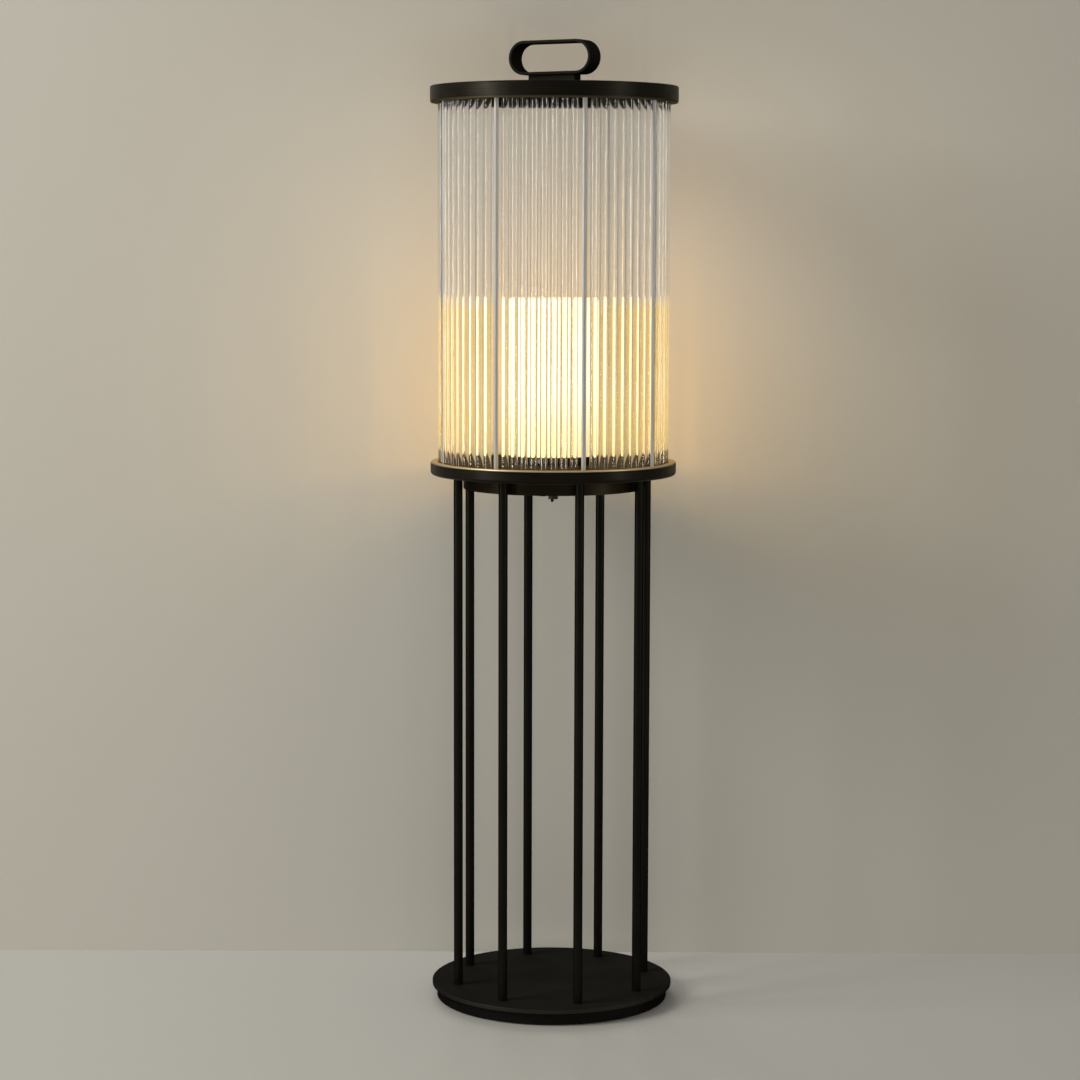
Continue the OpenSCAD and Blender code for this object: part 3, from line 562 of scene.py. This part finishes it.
# Between the plates the glass has a faint painted glow that stands in for the room's light it
# catches. As far up as the lit cylinder reaches, a warm painted glow and a warm painted tint
# stand in for the cylinder's light in it. Diffuse rays don't see the painted glow.
# Painted glow colours of the glass: warm beside the lit cylinder, pale grey for the room's light.
dark = (0, 0, 0, 1)
painted_warm_glow = (1.0, 0.57, 0.04, 1)
painted_room_glow = (0.28, 0.28, 0.26, 1)
lit_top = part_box("diffuser")[1].z
warm_until = lit_top - 0.014
clear_from = lit_top + 0.003
rod_glass, tree, out = new_material("drawn_glass")
height = height_on(tree)
painted_glow_steps = [((level - rod_bottom) / (rod_top - rod_bottom), colour) for level, colour in (
    (rod_bottom + 0.008, dark), (rod_bottom + 0.028, painted_warm_glow), (warm_until, painted_warm_glow),
    (clear_from, painted_room_glow), (rod_top - 0.034, painted_room_glow), (rod_top - 0.020, dark))]
painted_glow = colour_along(tree, ranged(tree, height, rod_bottom, rod_top), dark, dark, painted_glow_steps)
painted_glow_share = ranged(tree, height, clear_from, warm_until)
rays = plug(tree, "LightPath").outputs
give_skin(tree, out, {
    "Base Color": mixed(tree, painted_glow_share, clear_tint, painted_glow_tint),
    "Roughness": 0.01, "IOR": 1.5, "Transmission Weight": 1.0,
    "Emission Color": mixed(tree, rays["Is Diffuse Ray"], painted_glow, dark),
    "Emission Strength": painted_glow_strength,
    "Alpha": reckon(tree, "MULTIPLY_ADD", rays["Is Shadow Ray"], -glass_let_through, 1.0)})

# A bay's first and last rods stand one step and eight steps round from the leg before it. Along X,
# bay 1 spans the sines of those angles and bay 2 their cosines, each with one rod's width more, so
# their boxes give the radius of the rods' circle and that of a rod.
bay_step = math.radians(360 / bays)
rod_step = bay_step / (rods_in_bay + 1)
sine_span = math.sin(rods_in_bay * rod_step) - math.sin(rod_step)
cosine_span = math.cos(rod_step) - math.cos(rods_in_bay * rod_step)
first_width = first_high.x - first_low.x
second_width = second_high.x - second_low.x
rod_circle_r = (first_width - second_width) / (sine_span - cosine_span)
rod_r = (first_width - rod_circle_r * sine_span) / 2
rod_outline = softened([(0, rod_bottom, 0), (rod_r, rod_bottom, rod_polish),
                        (rod_r, rod_top, rod_polish), (0, rod_top, 0)])
for bay in range(1, bays + 1):
    bm = bmesh.new()
    for k in range(1, rods_in_bay + 1):
        angle = -math.pi / 2 + bay_step * (bay - 1) + rod_step * k
        turn_into(bm, rod_outline, rod_sides, closed=False,
                  centre=(rod_circle_r * math.cos(angle), rod_circle_r * math.sin(angle)))
    glass_only.objects.link(new_piece(f"glass_bay_{bay}", bm, rod_glass,
                                      f"glass_rods_{bay}"))


# ---- Posts ---------------------------------------------------------------------
# Eight bright drawn steel posts between the bays carry the cap, so that no load is on the glass.
# Nuts under the lower plate and over the upper plate clamp them.
post_steel = drawn_metal("post_steel", (0.46, 0.455, 0.43, 1), (0.40, 0.395, 0.375, 1),
                         roughness=0.38, lines_per_metre=1500.0, stretch=(1, 1, 0.01),
                         line_depth=0.000004, metallic=0.45)
dress(post_steel, "cage_posts")
dress(fastener_steel, "post_nuts")


# ---- Handle --------------------------------------------------------------------
# A loop of flat steel strap, bent round and joined under the bolts, on a machined block. Its
# edges are broken so that it is kind to the hand.
strap_t = 0.0035
strap_edge = 0.0007
strap_edge_steps = 4
strap_bend_steps = 40
strap_low, strap_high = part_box("handle_strap")
strap_half_w = strap_high.y
loop_h = strap_high.z - strap_low.z
loop_z = (strap_low.z + strap_high.z) / 2
bend_r = (loop_h - strap_t) / 2
straight_half = strap_high.x - loop_h / 2

path = []
for end in (1, -1):
    for k in range(strap_bend_steps + 1):
        sweep = -math.pi / 2 + math.pi * k / strap_bend_steps
        outward = Vector((end * math.cos(sweep), 0, end * math.sin(sweep)))
        path.append((Vector((end * straight_half, 0, loop_z)) + outward * bend_r, outward))

section = softened([(sx * (strap_t / 2), sy * strap_half_w, strap_edge)
                    for sx, sy in ((-1, -1), (1, -1), (1, 1), (-1, 1))], strap_edge_steps)
bm = bmesh.new()
rings = [[bm.verts.new(place + outward * u + Vector((0, v, 0))) for u, v in section]
         for place, outward in path]
for ring, following in zip(rings, rings[1:] + rings[:1]):
    for k in range(len(section)):
        n = (k + 1) % len(section)
        bm.faces.new([ring[k], ring[n], following[n], following[k]])
handle_coat = black_coat("handle_coat", (0.0165, 0.0151, 0.0112, 1), (0.0190, 0.0174, 0.0129, 1),
                         (0.022, 0.020, 0.016, 1), roughness=0.45, grain_depth=0.000008,
                         wear=0.3, sheen=0.08)
new_piece("strap_loop", bm, handle_coat, "handle_strap")
dress(handle_coat, "handle_block")
dress(fastener_steel, "handle_nuts")


# ---- Opal cylinder -------------------------------------------------------------
# A blown opal glass cylinder with a closed top, lit from inside. It stands in a black collar and
# thumb screws hold it. It glows least at its foot, and most over its upper half.
opal_white = (0.72, 0.69, 0.63, 1)
opal_cream = (0.68, 0.65, 0.58, 1)
opal_let_through = 0.5
opal, tree, out = new_material("lit_opal")
diffuser_low, diffuser_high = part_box("diffuser")
up_the_wall = ranged(tree, height_on(tree), diffuser_low.z, diffuser_high.z)
glow = colour_along(tree, up_the_wall, (0.66, 0.53, 0.18, 1), (0.74, 0.62, 0.38, 1),
                    ((0.18, (0.72, 0.60, 0.26, 1)), (0.45, (0.84, 0.78, 0.58, 1)),
                     (0.88, (0.84, 0.76, 0.54, 1))))
cloudy = mottle(tree, place_on(tree), 18.0, detail=3.0)
rays = plug(tree, "LightPath").outputs
give_skin(tree, out, {
    "Base Color": mixed(tree, cloudy, opal_white, opal_cream),
    "Roughness": 0.25, "Emission Color": mixed(tree, rays["Is Diffuse Ray"], glow, dark),
    "Emission Strength": 1.0,
    "Alpha": reckon(tree, "MULTIPLY_ADD", rays["Is Shadow Ray"], -opal_let_through, 1.0)})
opal.cycles.emission_sampling = "NONE"
dress(opal, "diffuser")

# What the glowing cylinder throws on the wall and the glass comes from lamps inside it: two on
# its axis near the top, and two rings of four lower down.
glow_watts = 11.6
glow_colour = (1.0, 0.50, 0.04)
glow_lamp_r = 0.008
glow_ring_r = 0.042
ring_turns = [math.pi / 4 * k for k in (1, 3, 5, 7)]
glow_places = [(0, 0, z) for z in (0.835, 0.80)]
glow_places += [(glow_ring_r * math.cos(turn), glow_ring_r * math.sin(turn), z)
                for z in (0.70, 0.75) for turn in ring_turns]
for i, place in enumerate(glow_places):
    light = bpy.data.lights.new(f"glow_{i}", "POINT")
    light.energy = glow_watts / len(glow_places)
    light.color = glow_colour
    light.shadow_soft_size = glow_lamp_r
    glow_lamp = bpy.data.objects.new(f"glow_{i}", light)
    glow_lamp.location = place
    glow_lamp.visible_camera = False
    glow_lamp.visible_glossy = False
    glow_lamp.visible_transmission = False
    bpy.context.scene.collection.objects.link(glow_lamp)
dress(fastener_steel, "diffuser_screws", "nipple", "nipple_nuts")


# ---- Lampholder and bulb -------------------------------------------------------
# A moulded black lampholder with a ceramic core and brass contacts, and a bulb with a white
# housing and an opal dome. They are inside the opal cylinder.
def moulded(name, colour, roughness, grain_per_metre=700.0, grain_depth=0.00002):
    """Moulded plastic or ceramic with a fine grain."""
    material, tree, out = new_material(name)
    coat = plug(tree, "Group", node_tree=enamel, values={
        "Color": colour, "Cloud Color": tuple(c * 0.9 for c in colour[:3]) + (1,),
        "Roughness": roughness, "Grain per Metre": grain_per_metre}).outputs
    give_skin(tree, out, {"Base Color": coat["Color"], "Roughness": coat["Roughness"],
                          "Normal": relief(tree, coat["Height"], grain_depth)})
    return material


black_moulding = moulded("black_moulding", (0.020, 0.019, 0.018, 1), roughness=0.5)
dress(black_moulding, "lampholder_cap", "lampholder_sleeve")
holder_ceramic = moulded("holder_ceramic", (0.80, 0.79, 0.74, 1), roughness=0.6,
                         grain_per_metre=1500.0)
dress(holder_ceramic, "lampholder_core")
white_moulding = moulded("white_moulding", (0.78, 0.77, 0.72, 1), roughness=0.45)
dress(white_moulding, "bulb_housing", "bulb_led_board")
contact_metal = drawn_metal("contact_brass", (0.72, 0.54, 0.24, 1), (0.55, 0.39, 0.16, 1),
                            roughness=0.30, lines_per_metre=1200.0, stretch=(1, 1, 0.3),
                            line_depth=0.000005)
dress(contact_metal, "lampholder_contacts")
bulb_metal = drawn_metal("bulb_nickel", (0.70, 0.69, 0.66, 1), (0.55, 0.54, 0.51, 1),
                         roughness=0.26, lines_per_metre=800.0, stretch=(0.2, 0.2, 1),
                         line_depth=0.00001)
dress(bulb_metal, "bulb_cap")
bulb_opal, tree, out = new_material("bulb_opal")
bulb_glow = mixed(tree, mottle(tree, place_on(tree), 60.0), (1.0, 0.84, 0.58, 1),
                  (1.0, 0.78, 0.50, 1))
give_skin(tree, out, {"Base Color": (0.92, 0.90, 0.86, 1), "Roughness": 0.3,
                      "Emission Color": bulb_glow, "Emission Strength": 2.0})
bulb_opal.cycles.emission_sampling = "NONE"
dress(bulb_opal, "bulb_dome")


# ---- Switch --------------------------------------------------------------------
# A small toggle switch under the drum: a moulded body, a threaded bush with a hexagon nut, and a
# black lever that leans to either side.
dress(black_screws, "switch_nut", "switch_lever")
dress(black_moulding, "switch_body")


# ---- Gland and wiring ----------------------------------------------------------
# A moulded gland takes the mains lead through the drum's floor to a screw terminal block, from
# which three single wires run to the switch, the lampholder and the tray.
dress(black_moulding, "cord_gland", "gland_nut")
dress(white_moulding, "terminal_block")
for wire, colour in (("wire_live", (0.16, 0.06, 0.03, 1)), ("wire_neutral", (0.04, 0.12, 0.38, 1)),
                     ("wire_earth", (0.22, 0.42, 0.07, 1))):
    insulation = moulded(wire.replace("wire", "insulation"), colour, roughness=0.35,
                         grain_per_metre=300.0, grain_depth=0.00001)
    dress(insulation, wire)
